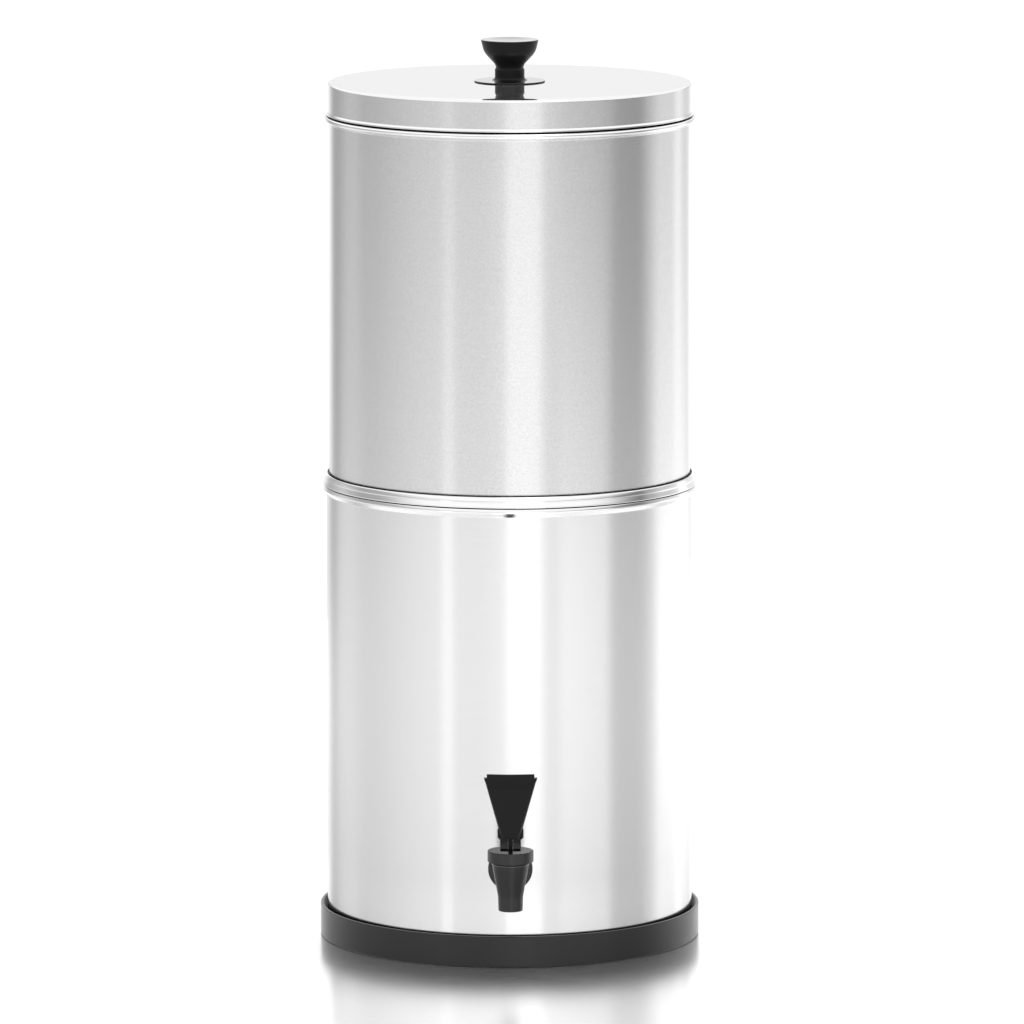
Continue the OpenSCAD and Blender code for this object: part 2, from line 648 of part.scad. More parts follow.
// Plugs that close the two stem holes without an element
module blocking_plugs() {
    head_r = gasket_d / 2 + 1;
    color("dimgray") at_plugs() turned([
        [0, floor_z - wing_nut_h - 3, 0], [thread_d / 2, floor_z - wing_nut_h - 3, 1],
        [thread_d / 2, element_z, 0], [head_r, element_z, 0.5], [head_r, element_z + 3, 1.2],
        [thread_d / 2 + 1, element_z + 4, 1.5], [thread_d / 2, element_z + plug_h, 1.5],
        [0, element_z + plug_h, 0]]);
}

// Flat lid with a rounded edge and a skirt that flares at its lower edge
module lid() {
    lid_c = lid_r - half_t;
    skirt_z = lid_z - skirt_h;
    color(steel) spun([
        [knob_screw_d / 2 + nip, lid_z - half_t, 0],
        [lid_c, lid_z - half_t, lid_edge_r],
        [lid_c, skirt_z + 2 * lip_out, 1],
        [lid_c + lip_out, skirt_z + half_t, 0]]);
}

// Turned knob: thin flange, neck, bowl and a dished top
module lid_knob() {
    neck = knob_neck_d / 2;
    rim = knob_d / 2;
    rise = knob_h - knob_neck_h;
    dish_r = (pow(rim - 1.4, 2) + dish_h * dish_h) / 2 / dish_h;
    color(black) translate([0, 0, lid_z]) difference() {
        turned([
            [0, 0, 0], [flange_d / 2, 0, 0.3], [flange_d / 2, flange_t, 0.3], [neck, flange_t, 2.6],
            [neck + 0.1, knob_neck_h - 1.4, 1], [neck - 0.7, knob_neck_h, 0.8],
            [neck + 0.1, knob_neck_h + rise * 0.12, 5], [rim - 2, knob_neck_h + rise * 0.55, 12],
            [rim, knob_h, 0.6], [0, knob_h, 0]]);
        translate([0, 0, knob_h - dish_h + dish_r]) sphere(r = dish_r, $fn = 200);
        translate([0, 0, -1]) cylinder(d = knob_screw_d + 2 * skin, h = knob_screw_l);
    }
}

module knob_washer() {
    color("silver") translate([0, 0, screw_z])
        tube(3 * knob_screw_d, knob_screw_d + 2 * nip, knob_washer_t);
}

// Pan-head screw from below the lid into the knob
module knob_screw() {
    head_h = 2.6;
    r = knob_screw_d / 2;
    color("silver") difference() {
        turned([
            [0, screw_z - head_h, 0], [r * 1.9, screw_z - head_h, 1.2], [r * 1.9, screw_z, 0.3],
            [r, screw_z, 0], [r, screw_z + knob_screw_l, 0.6], [0, screw_z + knob_screw_l, 0]]);
        for (a = [0, 90]) rotate(a) translate([-0.5, -r, screw_z - head_h - 1]) cube([1, 2 * r, 2.4]);
    }
}

base_ring();
lower_chamber();
tap_body();
outer_washer();
inner_washer();
shank_nut();
bonnet();
bonnet_seal();
valve_stem();
seat_cup();
closing_spring();
lever_pin();
lever();
upper_chamber();
filter_block(-1);  // filter_block_left
filter_block(1);  // filter_block_right
filter_base(-1);  // filter_base_left
filter_base(1);  // filter_base_right
filter_cap(-1);  // filter_cap_left
filter_cap(1);  // filter_cap_right
stem_gaskets();
wing_nuts();
blocking_plugs();
lid();
lid_knob();
knob_washer();
knob_screw();
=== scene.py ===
"""Looks of the gravity water filter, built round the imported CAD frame.

Metres, in the frame's own axes: the origin is on the chambers' axis at the floor, and the tap points to -Y.
Lengths written in millimetres are multiplied by MM where they are used.
"""
import math

import bmesh
import bpy
from mathutils import Matrix, Vector


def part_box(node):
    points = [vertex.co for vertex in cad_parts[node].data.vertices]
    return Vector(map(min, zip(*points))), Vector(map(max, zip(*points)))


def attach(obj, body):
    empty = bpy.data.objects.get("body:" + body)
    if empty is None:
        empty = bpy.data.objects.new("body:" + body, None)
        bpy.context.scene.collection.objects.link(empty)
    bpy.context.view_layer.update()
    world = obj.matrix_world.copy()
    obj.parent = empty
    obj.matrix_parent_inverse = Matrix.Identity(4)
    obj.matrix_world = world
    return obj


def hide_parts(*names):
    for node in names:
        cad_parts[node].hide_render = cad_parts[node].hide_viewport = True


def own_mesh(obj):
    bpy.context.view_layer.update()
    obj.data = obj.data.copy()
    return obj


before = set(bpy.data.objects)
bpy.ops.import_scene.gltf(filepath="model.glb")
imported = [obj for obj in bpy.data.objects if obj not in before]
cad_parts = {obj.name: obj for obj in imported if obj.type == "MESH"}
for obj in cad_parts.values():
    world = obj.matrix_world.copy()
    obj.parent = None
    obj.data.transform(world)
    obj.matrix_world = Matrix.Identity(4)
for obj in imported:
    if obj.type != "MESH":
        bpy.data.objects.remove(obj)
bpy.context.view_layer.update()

MM = 0.001
TURN = 2 * math.pi
SPIN_STEPS = 256        # points round a large turned piece
ARC_STEP = 7            # degrees between the points of a rounded corner


# ---- Outlines: rounded lines of (x, z, radius) corners, in millimetres ----

def corner(a, b, c, radius):
    """Points that round the corner b of the line a-b-c."""
    u, v = (a - b).normalized(), (c - b).normalized()
    half = u.angle(v) / 2
    if radius == 0 or half > math.pi / 2 - 0.001:
        return [b]
    centre = b + (u + v).normalized() * radius / math.sin(half)
    start = b + u * radius / math.tan(half) - centre
    turn = math.copysign(math.pi - 2 * half, -u.cross(v))
    steps = max(2, math.ceil(math.degrees(abs(turn)) / ARC_STEP))
    return [centre + Matrix.Rotation(turn * i / steps, 2) @ start for i in range(steps + 1)]


def rounded(path, closed=False):
    """The points of an open line or a closed loop with its corners rounded."""
    flat = [Vector(p[:2]) for p in path]
    n = len(path)
    points = []
    for i, (_, _, radius) in enumerate(path):
        if not closed and i in (0, n - 1):
            points.append(flat[i])
        else:
            points += corner(flat[i - 1], flat[i], flat[(i + 1) % n], radius)
    return distinct(points)


def distinct(points, gap=0.001):
    """The points without those that lie on the one before them."""
    kept = [points[0]]
    for p in points[1:]:
        if (p - kept[-1]).length > gap:
            kept.append(p)
    return kept


def braced(points, closed=True, margin=0.5, shortest=3.0):
    """The outline with an extra point near both ends of each long straight stretch, so that the shading of
    a rounded corner doesn't run out over the flat beside it."""
    out = []
    last = len(points) if closed else len(points) - 1
    for i in range(last):
        a, b = points[i], points[(i + 1) % len(points)]
        out.append(a)
        if (b - a).length > shortest:
            along = (b - a).normalized() * margin
            out += [a + along, b - along]
    if not closed:
        out.append(points[-1])
    return out


def beside(points, distance):
    """The line moved to its left by distance."""
    moved = []
    for i, p in enumerate(points):
        a = points[max(i, 1)] - points[max(i - 1, 0)]
        b = points[min(i + 1, len(points) - 1)] - points[min(i, len(points) - 2)]
        m = a.normalized().orthogonal() + b.normalized().orthogonal()
        moved.append(p + m * 2 * distance / m.length_squared)
    return moved


def sheet_outline(path, thickness):
    """Closed outline of sheet metal whose middle runs along the path."""
    middle = rounded(path)
    return beside(middle, thickness / 2) + beside(middle, -thickness / 2)[::-1]


# ---- Meshes ----

def new_piece(name, mesh, body, slot, *materials):
    """A piece of the object, with its materials, that rides on a body."""
    piece = bpy.data.objects.new(name, mesh)
    bpy.context.scene.collection.objects.link(piece)
    for material in materials:
        mesh.materials.append(material)
    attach(piece, body)
    return piece


def smooth(mesh, sharp_angle=35):
    """Smooth shading, broken at the edges that are sharper than sharp_angle degrees."""
    for face in mesh.polygons:
        face.use_smooth = True
    mesh.set_sharp_from_angle(angle=math.radians(sharp_angle))


def turned(name, outline, centre=(0, 0), steps=SPIN_STEPS, sharp_angle=35):
    """Mesh of a closed outline (radius, z), in millimetres, turned round the Z axis through centre."""
    points = braced(outline)
    shape = bmesh.new()
    rings = []
    for r, z in points:
        if r < 0.001:
            rings.append([shape.verts.new((centre[0], centre[1], z * MM))] * steps)
            continue
        rings.append([shape.verts.new((centre[0] + r * MM * math.cos(TURN * i / steps),
                                       centre[1] + r * MM * math.sin(TURN * i / steps), z * MM))
                      for i in range(steps)])
    for k, ring in enumerate(rings):
        below = rings[k - 1]
        for i in range(steps):
            j = (i + 1) % steps
            around = [ring[i], ring[j], below[j], below[i]]
            corners = [v for n, v in enumerate(around) if v is not around[n - 1]]
            if len(corners) > 2:
                shape.faces.new(corners)
    bmesh.ops.recalc_face_normals(shape, faces=shape.faces)
    mesh = bpy.data.meshes.new(name)
    shape.to_mesh(mesh)
    shape.free()
    smooth(mesh, sharp_angle)
    return mesh


# ---- Materials ----

def new_material(name):
    """A node material, its Principled shader and a function that adds nodes to it."""
    material = bpy.data.materials.new(name)
    material.use_nodes = True
    tree = material.node_tree
    shader = tree.nodes["Principled BSDF"]

    def add(kind, **values):
        """A new node with its inputs, or else its settings, at these values."""
        node = tree.nodes.new(kind)
        for key, value in values.items():
            if key in node.inputs:
                node.inputs[key].default_value = value
            else:
                setattr(node, key.lower(), value)
        return node

    return material, shader, add, tree.links.new


def set_sockets(shader, **values):
    """Sets inputs by name, with an underscore for each space of the name."""
    for key, value in values.items():
        shader.inputs[key.replace("_", " ")].default_value = value


def grey(level):
    return (level, level, level, 1)


def noise(add, link, scale, stretch=(1, 1, 1), detail=3.0, roughness=0.6):
    """Noise over the object's own coordinates; scale is in features per metre."""
    place = add("ShaderNodeTexCoord")
    mapping = add("ShaderNodeMapping")
    mapping.inputs["Scale"].default_value = stretch
    texture = add("ShaderNodeTexNoise")
    set_sockets(texture, Scale=scale, Detail=detail, Roughness=roughness)
    link(place.outputs["Object"], mapping.inputs["Vector"])
    link(mapping.outputs["Vector"], texture.inputs["Vector"])
    return texture.outputs["Fac"]


def spread(add, link, fac, low, high, from_low=0.3, from_high=0.7):
    """fac mapped from from_low..from_high to low..high."""
    node = add("ShaderNodeMapRange")
    for key, value in (("From Min", from_low), ("From Max", from_high), ("To Min", low), ("To Max", high)):
        node.inputs[key].default_value = value
    link(fac, node.inputs["Value"])
    return node.outputs["Result"]


def product(add, link, a, b):
    node = add("ShaderNodeMath")
    node.operation = "MULTIPLY"
    link(a, node.inputs[0])
    link(b, node.inputs[1])
    return node.outputs[0]


def bump(add, link, shader, height, depth):
    """Bump of a height that is depth metres deep."""
    node = add("ShaderNodeBump")
    node.inputs["Strength"].default_value = 1
    node.inputs["Distance"].default_value = depth
    link(height, node.inputs["Height"])
    link(node.outputs["Normal"], shader.inputs["Normal"])


SPECKLE, RINGS, BRUSHING = 900, 40, 500     # features of the steel's patterns, per metre
RING_STRETCH, BRUSH_STRETCH = (1, 1, 60), (1, 1, 8)
GAP_SHADE_TONE = 0.03         # share of the steel's tone that is left deep in a gap, as painted shade
GAP_OPEN = (0.66, 0.78)     # openness to the air between which the painted shade fades to the steel's full tone
SMOOTHER = 0.45         # share of the roughness that is left where the steel is polished


def spun_steel(name, tone, rough, anisotropy, grain, polished_below=None, gap_shade_reach=None):
    """Stainless steel finished round the Z axis: fine speckle, faint rings and a highlight drawn out along Z.
    polished_below gives two heights, in metres, between which the finish goes from polished to normal, and
    gap_shade_reach is the reach, in metres, in which a neighbouring piece darkens the steel's colour with
    painted shade."""
    material, shader, add, link = new_material(name)
    set_sockets(shader, Metallic=1, Anisotropic=anisotropy, Anisotropic_Rotation=0.25)
    tangent = add("ShaderNodeTangent")
    tangent.direction_type = "RADIAL"
    tangent.axis = "Z"
    link(tangent.outputs["Tangent"], shader.inputs["Tangent"])
    speckle = spread(add, link, noise(add, link, SPECKLE, detail=2), tone * (1 - grain), tone * (1 + grain))
    rings = spread(add, link, noise(add, link, RINGS, stretch=RING_STRETCH), 0.985, 1.015)
    colour = add("ShaderNodeCombineColor")
    level = product(add, link, speckle, rings)
    # Painted shade: the colour darkens where ambient occlusion finds a neighbouring piece
    if gap_shade_reach:
        near = add("ShaderNodeAmbientOcclusion", Distance=gap_shade_reach)
        level = product(add, link, level, spread(add, link, near.outputs["AO"], GAP_SHADE_TONE, 1, *GAP_OPEN))
    for channel in ("Red", "Green", "Blue"):
        link(level, colour.inputs[channel])
    link(colour.outputs["Color"], shader.inputs["Base Color"])
    finish = spread(add, link, noise(add, link, BRUSHING, stretch=BRUSH_STRETCH), rough * 0.92, rough * 1.08)
    if polished_below:
        place = add("ShaderNodeTexCoord")
        split = add("ShaderNodeSeparateXYZ")
        link(place.outputs["Object"], split.inputs[0])
        finish = product(add, link, finish,
                         spread(add, link, split.outputs["Z"], SMOOTHER, 1, *polished_below))
    link(finish, shader.inputs["Roughness"])
    return material


def polished_steel(name, tone, rough, metal=1.0):
    """Evenly polished steel, or, at a low tone, near-black metal that stands for the shade in a gap."""
    material, shader, add, link = new_material(name)
    set_sockets(shader, Metallic=metal, Base_Color=grey(tone))
    link(spread(add, link, noise(add, link, 60), rough * 0.8, rough * 1.2), shader.inputs["Roughness"])
    return material


def moulded(name, tone, rough, gloss=0.5, grain_scale=1500, grain_depth=4e-6, coat=0.0, coat_ior=1.5,
            sheen=0.0):
    """Moulded plastic or rubber: a tone that varies a little, and a fine grain."""
    material, shader, add, link = new_material(name)
    set_sockets(shader, Specular_IOR_Level=gloss, Coat_Weight=coat, Coat_Roughness=0.06, Coat_IOR=coat_ior,
                Sheen_Weight=sheen, Sheen_Roughness=0.3)
    low, high = (tuple(c * k for c in tone) + (1,) for k in (0.85, 1.15))
    mix = add("ShaderNodeMix")
    mix.data_type = "RGBA"
    mix.inputs[6].default_value = low
    mix.inputs[7].default_value = high
    link(noise(add, link, 120), mix.inputs[0])
    link(mix.outputs[2], shader.inputs["Base Color"])
    link(spread(add, link, noise(add, link, 90), rough * 0.9, rough * 1.1), shader.inputs["Roughness"])
    bump(add, link, shader, noise(add, link, grain_scale, detail=4), grain_depth)
    return material


lower_steel = spun_steel("lower_steel", 0.79, 0.24, 0.9, 0.01, polished_below=(0.030, 0.055))
upper_steel = spun_steel("upper_steel", 0.72, 0.25, 0.9, 0.05)
# Upper steel with painted shade: its colour darkens in gaps beside neighbouring pieces
gap_shaded_steel = spun_steel("gap_shaded_steel", 0.72, 0.25, 0.9, 0.05, gap_shade_reach=0.004)
lid_top_steel = polished_steel("lid_top_steel", 0.86, 0.05, metal=0.94)
rim_steel = polished_steel("rim_steel", 0.90, 0.09)
# Near-black steel put on faces where there is only shade: painted shade in creases and gaps
gap_shade_paint = polished_steel("gap_shade_paint", 0.03, 0.5)
bright_steel = polished_steel("bright_steel", 0.75, 0.15)
base_rubber = moulded("base_rubber", (0.006, 0.006, 0.0063), 0.34, gloss=0.5, sheen=0.8)
seal_rubber = moulded("seal_rubber", (0.012, 0.012, 0.012), 0.55)
silicone = moulded("silicone", (0.80, 0.80, 0.78), 0.4)
tap_plastic = moulded("tap_plastic", (0.008, 0.008, 0.0085), 0.22)
lever_plastic = moulded("lever_plastic", (0.008, 0.008, 0.008), 0.24, gloss=0.15)
knob_plastic = moulded("knob_plastic", (0.009, 0.009, 0.009), 0.35, gloss=0.15, grain_depth=1e-6)
flange_plastic = moulded("flange_plastic", (0.003, 0.003, 0.003), 0.12, gloss=0.5, grain_depth=1e-6, coat=1.0,
                         coat_ior=1.6)
element_plastic = moulded("element_plastic", (0.015, 0.015, 0.016), 0.45)
carbon = moulded("pressed_carbon", (0.022, 0.022, 0.023), 0.8, gloss=0.3, grain_scale=700, grain_depth=2e-4)
nut_plastic = moulded("nut_plastic", (0.42, 0.42, 0.42), 0.45)
plug_plastic = moulded("plug_plastic", (0.05, 0.05, 0.055), 0.45)


# ---- Pieces turned as finer meshes, close to the CAD outlines ----

SHEET = 0.6             # thickness of the sheet steel
half = SHEET / 2        # from the middle of the sheet to its faces


def replaced(name, outline, node, body, slot, *materials, **options):
    """A turned piece that stands for a CAD node."""
    piece = new_piece(name, turned(name, outline, **options), body, slot, *materials)
    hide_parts(node)
    return piece


def finish_faces(piece, index, belongs):
    """Gives the piece's material index to the faces that belong, by their middle (radius, z) in millimetres
    and how much they face outward and up."""
    for face in piece.data.polygons:
        middle = face.center / MM
        out = Vector((middle.x, middle.y))
        if belongs(out.length, middle.z, out.normalized().dot(face.normal.xy), face.normal.z):
            face.material_index = index


def node_mm(node):
    """The lowest and highest corners of a node, in millimetres."""
    return tuple(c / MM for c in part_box(node))


CHAMBER_R = 120.5       # outside of the lower chamber's wall
WALL = CHAMBER_R - half     # middle of that wall's sheet
RIM_OUT, RIM_H = 2.9, 7.15      # how far the rim stands out before the wall, and its height
WAIST = 1.3             # how far the rim's waist lies inside its lower edge
WAIST_FROM, WAIST_TO = 2.5, 3.3     # depths of the waist below the rim's top
BEAD_IN = 0.3           # how far the bead stays inside the rim's edge
LEDGE_W = 5             # of the folded ledge under the rim
NEST_GAP = 1.3          # between the upper chamber and the rim that it stands in
DRAW_IN = 0.3           # of the upper chamber's wall where it enters the rim
LID_PROUD = 0.7         # of the lid's skirt before the upper chamber's wall
NECK_GAP = 0.7          # between the lid's skirt and the neck
FOOT_GAP = 1.3          # between the upper chamber's foot and the ledge
RING_GAP = 2.5          # between the base ring's lip and the chamber
NIP = 0.3               # between the base ring's seat and the chamber
ROUND = 128             # points round a small turned piece


def lower_chamber():
    low, high = node_mm("lower_chamber")
    ring_top = node_mm("base_ring")[1].z
    foot = low.z
    floor, floor_r, heel_r = foot + 5 + half, 98, 103   # of the raised floor and the heel round it
    top = high.z - half                         # middle of the sheet on top of the rim
    under = high.z - RIM_H + half               # and at its lower edge
    fold, bead_h = SHEET + 0.4, 5.5             # heights of the folded ledge and of the bead under it
    crease_shade_half = 0.45                              # half the height of the painted shade in the gap between bead and rim
    dark_from, dark_to = foot + 8, ring_top + 0.2       # the wall inside the base ring's lip, which gets painted shade
    rim_r = CHAMBER_R + RIM_OUT - half
    bead_r = rim_r - BEAD_IN
    ledge_r = WALL - LEDGE_W
    bead = under - fold
    outline = sheet_outline([
        (0, floor, 0), (floor_r, floor, 3), (heel_r, foot + half, 3), (WALL, foot + half, 8),
        (WALL, dark_to, 0), (WALL, bead - bead_h, 1.4), (bead_r, bead - 2.4, 0.8),
        (bead_r, bead - 1.7, 0.8), (bead_r - 0.6, bead, 0.3), (ledge_r, bead, fold / 2),
        (ledge_r, bead + fold, fold / 2), (WALL, bead + fold, 0.6), (WALL - 0.3, top, 0.5),
        (WALL + 0.7, top, 0.6), (rim_r - WAIST, top - WAIST_FROM, 0.8),
        (rim_r - WAIST, top - WAIST_TO, 0.7), (rim_r, under, 0.35), (WALL + 1, under, 0)], SHEET)
    shell = replaced("lower_shell", outline, "lower_chamber", "lower_assembly", "lower_steel", lower_steel,
                     rim_steel, gap_shade_paint)
    finish_faces(shell, 1, lambda r, z, out, up: z > bead - bead_h and r > CHAMBER_R - 0.2)
    crease = (bead + under) / 2
    # Painted shade: the crease under the rim and the wall inside the base ring's lip get the near-black steel
    finish_faces(shell, 2, lambda r, z, out, up:
                 r > WALL and (abs(z - crease) < crease_shade_half or dark_from < z < dark_to))
    return shell


def upper_chamber():
    low, high = node_mm("upper_chamber")
    rim = node_mm("lower_chamber")[1].z
    mouth, floor = high.z, low.z
    shoulder = floor + 18                       # the widening above the foot
    foot_r = WALL - LEDGE_W - half - FOOT_GAP - half
    wall = CHAMBER_R - SHEET - NEST_GAP - half
    entry = wall - DRAW_IN
    neck = wall + half + LID_PROUD - SHEET - NECK_GAP - half
    bead_r, bead_h = wall + 3.1, 4
    bead = mouth - 21 - half                    # middle of the sheet on top of the bead
    seam_top = rim + 3                          # upper end of the steel with painted shade near the rim
    under_lid = bead + half + 0.9               # upper end of the gap under the lid
    lip_r = wall + half + LID_PROUD + 0.4       # just inside the lid's lower edge
    outline = sheet_outline([
        (0, floor + half, 0), (foot_r, floor + half, 6), (foot_r, shoulder + half, 1),
        (entry, shoulder + half, 1.6), (entry, rim - RIM_H / 2, 4), (wall, rim + 1, 4),
        (wall, bead - bead_h, 1.2), (bead_r, bead - bead_h * 0.55, 1.2), (bead_r, bead, 1.2),
        (neck, bead, 0.8), (neck, mouth - half, 0.8), (neck - 2.2, mouth - half, 0)], SHEET)
    shell = replaced("upper_shell", outline, "upper_chamber", "upper_assembly", "upper_steel", upper_steel,
                     rim_steel, gap_shaded_steel)
    finish_faces(shell, 1, lambda r, z, out, up: bead - bead_h < z < bead + SHEET and r > wall + half)
    # Painted shade: the foot inside the rim, and the bead and neck under the lid, get the darkening steel
    finish_faces(shell, 2, lambda r, z, out, up:
                 out > 0.3 and r > foot_r + half and shoulder < z < seam_top
                 or bead < z < under_lid and r < lip_r and (up > 0.3 or out > 0.3))
    return shell


def lid():
    low, high = node_mm("lid")
    lid_r = CHAMBER_R - SHEET - NEST_GAP + LID_PROUD - half
    top = high.z - half
    hole_r = 2.8
    lip_h, lip_out = 1.9, 0.8
    crown_w, fall = 7, 0.4                      # breadth and depth of the top's fall towards its edge
    outline = sheet_outline([
        (hole_r, top, 0), (lid_r - crown_w, top, 60), (lid_r, top - fall, 1.4), (lid_r, low.z + lip_h, 1),
        (lid_r + lip_out, low.z + 0.7, 0.3), (lid_r + lip_out, low.z, 0)], SHEET)
    piece = replaced("lid_shell", outline, "lid", "lid", "lid_steel", upper_steel, lid_top_steel, rim_steel)
    finish_faces(piece, 1, lambda r, z, out, up: up > 0.05 and z > high.z - 2.5)
    finish_faces(piece, 2, lambda r, z, out, up: z < low.z + lip_h and r > lid_r)
    return piece


def base_ring():
    top = node_mm("base_ring")[1].z
    web_r, web_h, rib_h = CHAMBER_R - 16, 4, 13
    lip, seat = CHAMBER_R + RING_GAP, CHAMBER_R + NIP
    outer = lip + 2
    outline = rounded([
        (web_r, 0, 0.8), (outer, 0, 1.2), (outer, top, 0.7), (lip, top, 0.7), (lip, rib_h, 0.5),
        (seat, rib_h, 0.8), (seat, web_h, 0), (web_r, web_h, 0.8)], closed=True)
    return replaced("base_ring_rubber", outline, "base_ring", "lower_assembly", "base_rubber", base_rubber)


def lid_knob():
    base, high = (c.z for c in node_mm("lid_knob"))
    neck, rim = 9.6, 37.9 / 2
    neck_top = base + 9.2
    rise = high - neck_top
    flange_r, flange = 46.2 / 2, base + 0.8
    hole_r, hole_top = 2.52, base + 14
    dish, dish_edge, dish_steps = 1.2, rim - 4, 12
    dish_r = (dish_edge ** 2 + dish ** 2) / 2 / dish
    outline = rounded([
        (hole_r, base, 0), (flange_r, base, 0.3), (flange_r, flange, 0.3), (neck, flange, 2.6),
        (neck + 0.1, neck_top - 1.4, 1), (neck - 0.7, neck_top, 0.8), (neck + 0.1, neck_top + rise * 0.12, 5),
        (rim - 2, neck_top + rise * 0.55, 12), (rim, high, 0.6), (dish_edge, high, 0.6)])
    for i in range(1, dish_steps + 1):
        r = dish_edge * (1 - i / dish_steps)
        outline.append(Vector((r, high - dish + dish_r - math.sqrt(dish_r ** 2 - r ** 2))))
    outline += [Vector((0, hole_top)), Vector((hole_r, hole_top))]
    knob = replaced("knob", outline, "lid_knob", "lid", "knob_plastic", knob_plastic, flange_plastic,
                    steps=ROUND)
    finish_faces(knob, 1, lambda r, z, out, up:
                 up > 0.6 and (z > high - 2 or z < flange + 0.1 and r > neck + 0.8))
    return knob


def tap_centre():
    """Where the axis of the valve barrel stands, in metres."""
    low, high = node_mm("bonnet")
    return (low.x + high.x) / 2 * MM, (low.y + high.y) / 2 * MM


def bonnet():
    low, high = node_mm("bonnet")
    outer, inner, stem, guide = (high.x - low.x) / 2, 11.45, 2.65, 4
    under = high.z - 2.5                        # of the top plate
    sleeve = under - 3                          # lower end of the stem's guide
    outline = rounded([
        (inner, low.z, 0.3), (outer, low.z, 0.5), (outer, high.z, 0.6), (stem, high.z, 0.3),
        (stem, sleeve, 0), (guide, sleeve, 0.3), (guide, under, 0), (inner, under, 0)], closed=True)
    cap = replaced("bonnet_cap", outline, "bonnet", "lower_assembly", "bonnet_plastic", tap_plastic,
                   lever_plastic, centre=tap_centre(), steps=ROUND)
    finish_faces(cap, 1, lambda r, z, out, up: up > 0.7)
    return cap


def barrel_bead():
    """Rounded edge on the shoulder of the valve barrel, just under the bonnet."""
    barrel_r, bead_r, sides = 11.75, 0.5, 16
    shoulder = node_mm("bonnet")[0].z - 1.2
    middle_r, middle_z = barrel_r - 0.3, shoulder - 0.25
    outline = [Vector((middle_r + bead_r * math.cos(TURN * i / sides),
                       middle_z + bead_r * math.sin(TURN * i / sides))) for i in range(sides)]
    mesh = turned("barrel_bead", outline, centre=tap_centre(), steps=ROUND, sharp_angle=60)
    return new_piece("barrel_bead", mesh, "lower_assembly", "tap_plastic", flange_plastic)


def closing_spring():
    """The spring of the CAD model, which the rising plunger of the real tap presses together against the
    bonnet. Here it rides on the plunger unchanged.
    """
    spring = new_piece("spring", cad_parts["closing_spring"].data.copy(), "plunger", "bright_steel")
    spring.data.materials.clear()
    spring.data.materials.append(bright_steel)
    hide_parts("closing_spring")
    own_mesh(spring)
    return spring


lower_chamber()
upper_chamber()
lid()
base_ring()
lid_knob()
bonnet()
barrel_bead()
closing_spring()


# ---- CAD nodes that keep their shape ----

def paint(material, *nodes):
    """Gives CAD nodes one material in place of their own."""
    for node in nodes:
        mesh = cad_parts[node].data
        mesh.materials.clear()
        mesh.materials.append(material)


paint(tap_plastic, "tap_body", "shank_nut")
paint(lever_plastic, "lever", "valve_stem")
paint(seal_rubber, "outer_washer", "inner_washer", "stem_gaskets")
paint(silicone, "bonnet_seal", "seat_cup")
paint(bright_steel, "lever_pin", "knob_washer", "knob_screw")
paint(carbon, "filter_block_left", "filter_block_right")
paint(element_plastic, "filter_base_left", "filter_base_right", "filter_cap_left", "filter_cap_right")
paint(nut_plastic, "wing_nuts")
paint(plug_plastic, "blocking_plugs")


# The photo's steel shows no reflection of the lever
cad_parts["lever"].visible_glossy = False


# ---- Studio ----

STUDIO_R = 1.3                  # radius of the floor and of the light tent round it
TENT_LOW = 0.0                  # heights between which the tent goes from its low to its high levels
TENT_HIGH = 0.45
TENT_TOP = 1.4
BAND = (0.50, 0.60, 0.75, 0.95)     # heights between which a darker band fades in and out
BAND_SHARE = 0.75               # the tent's level in the band, as a share
CEILING_LEVEL = 1.1             # of the tent's top and the ceiling
CONTACT = 0.15                  # reach of the object's contact shade on the floor
CONTACT_OPEN = 0.7              # openness to the air below which that shade is full
NEAR_FILL = 0.34                # the floor's own light clear of the object, and what is added far from it
FAR_FILL = 0.5
FAR = (0.4, 1.2)                # distances between which that comes in
FILL_IN_STEEL = 0.5             # share of the floor's own light that reflections show
FLOOR_TONE = 0.5
MIRROR_TONE = 0.95
MIRROR_SHARE = 0.85             # of the floor's look that is a blurred mirror
MIRROR_ROUGH = 0.2
LAMP_AT = (0.3, -0.6, 2.2)
LAMP_SIZE = 1.0
LAMP_WATTS = 4

# The tent's level near the floor and high up, and its tall soft panels: azimuth of the middle, half width and
# softness of the edges, in degrees, and what each adds near the floor and high up. Azimuth 0 is on the
# camera's side, and positive to its right.
TENT_LEVEL = (0.80, 0.55)
PANELS = {
    "left_end": (-152, 18, 6, -0.26, -0.08),
    "left_glow": (-116, 9, 6, 0.04, 0.12),
    "wash": (-10, 60, 32, 0.31, 0.23),
    "left_strip": (-38, 3.5, 1.5, 0.34, 0.10),
    "front_glow": (5, 16, 8, 0.05, 0.12),
    "front": (8.5, 11, 2, 0.26, 0.32),
    "right_front": (46, 16, 4, 0.44, -0.22),
    "flag": (77.5, 13, 4, -0.10, -0.26),
    "right": (124, 24, 7, 0.60, 0.31),
    "right_strip": (130, 6, 3, 0.0, 0.30),
    "back": (180, 28, 10, 0.35, 0.70),
}


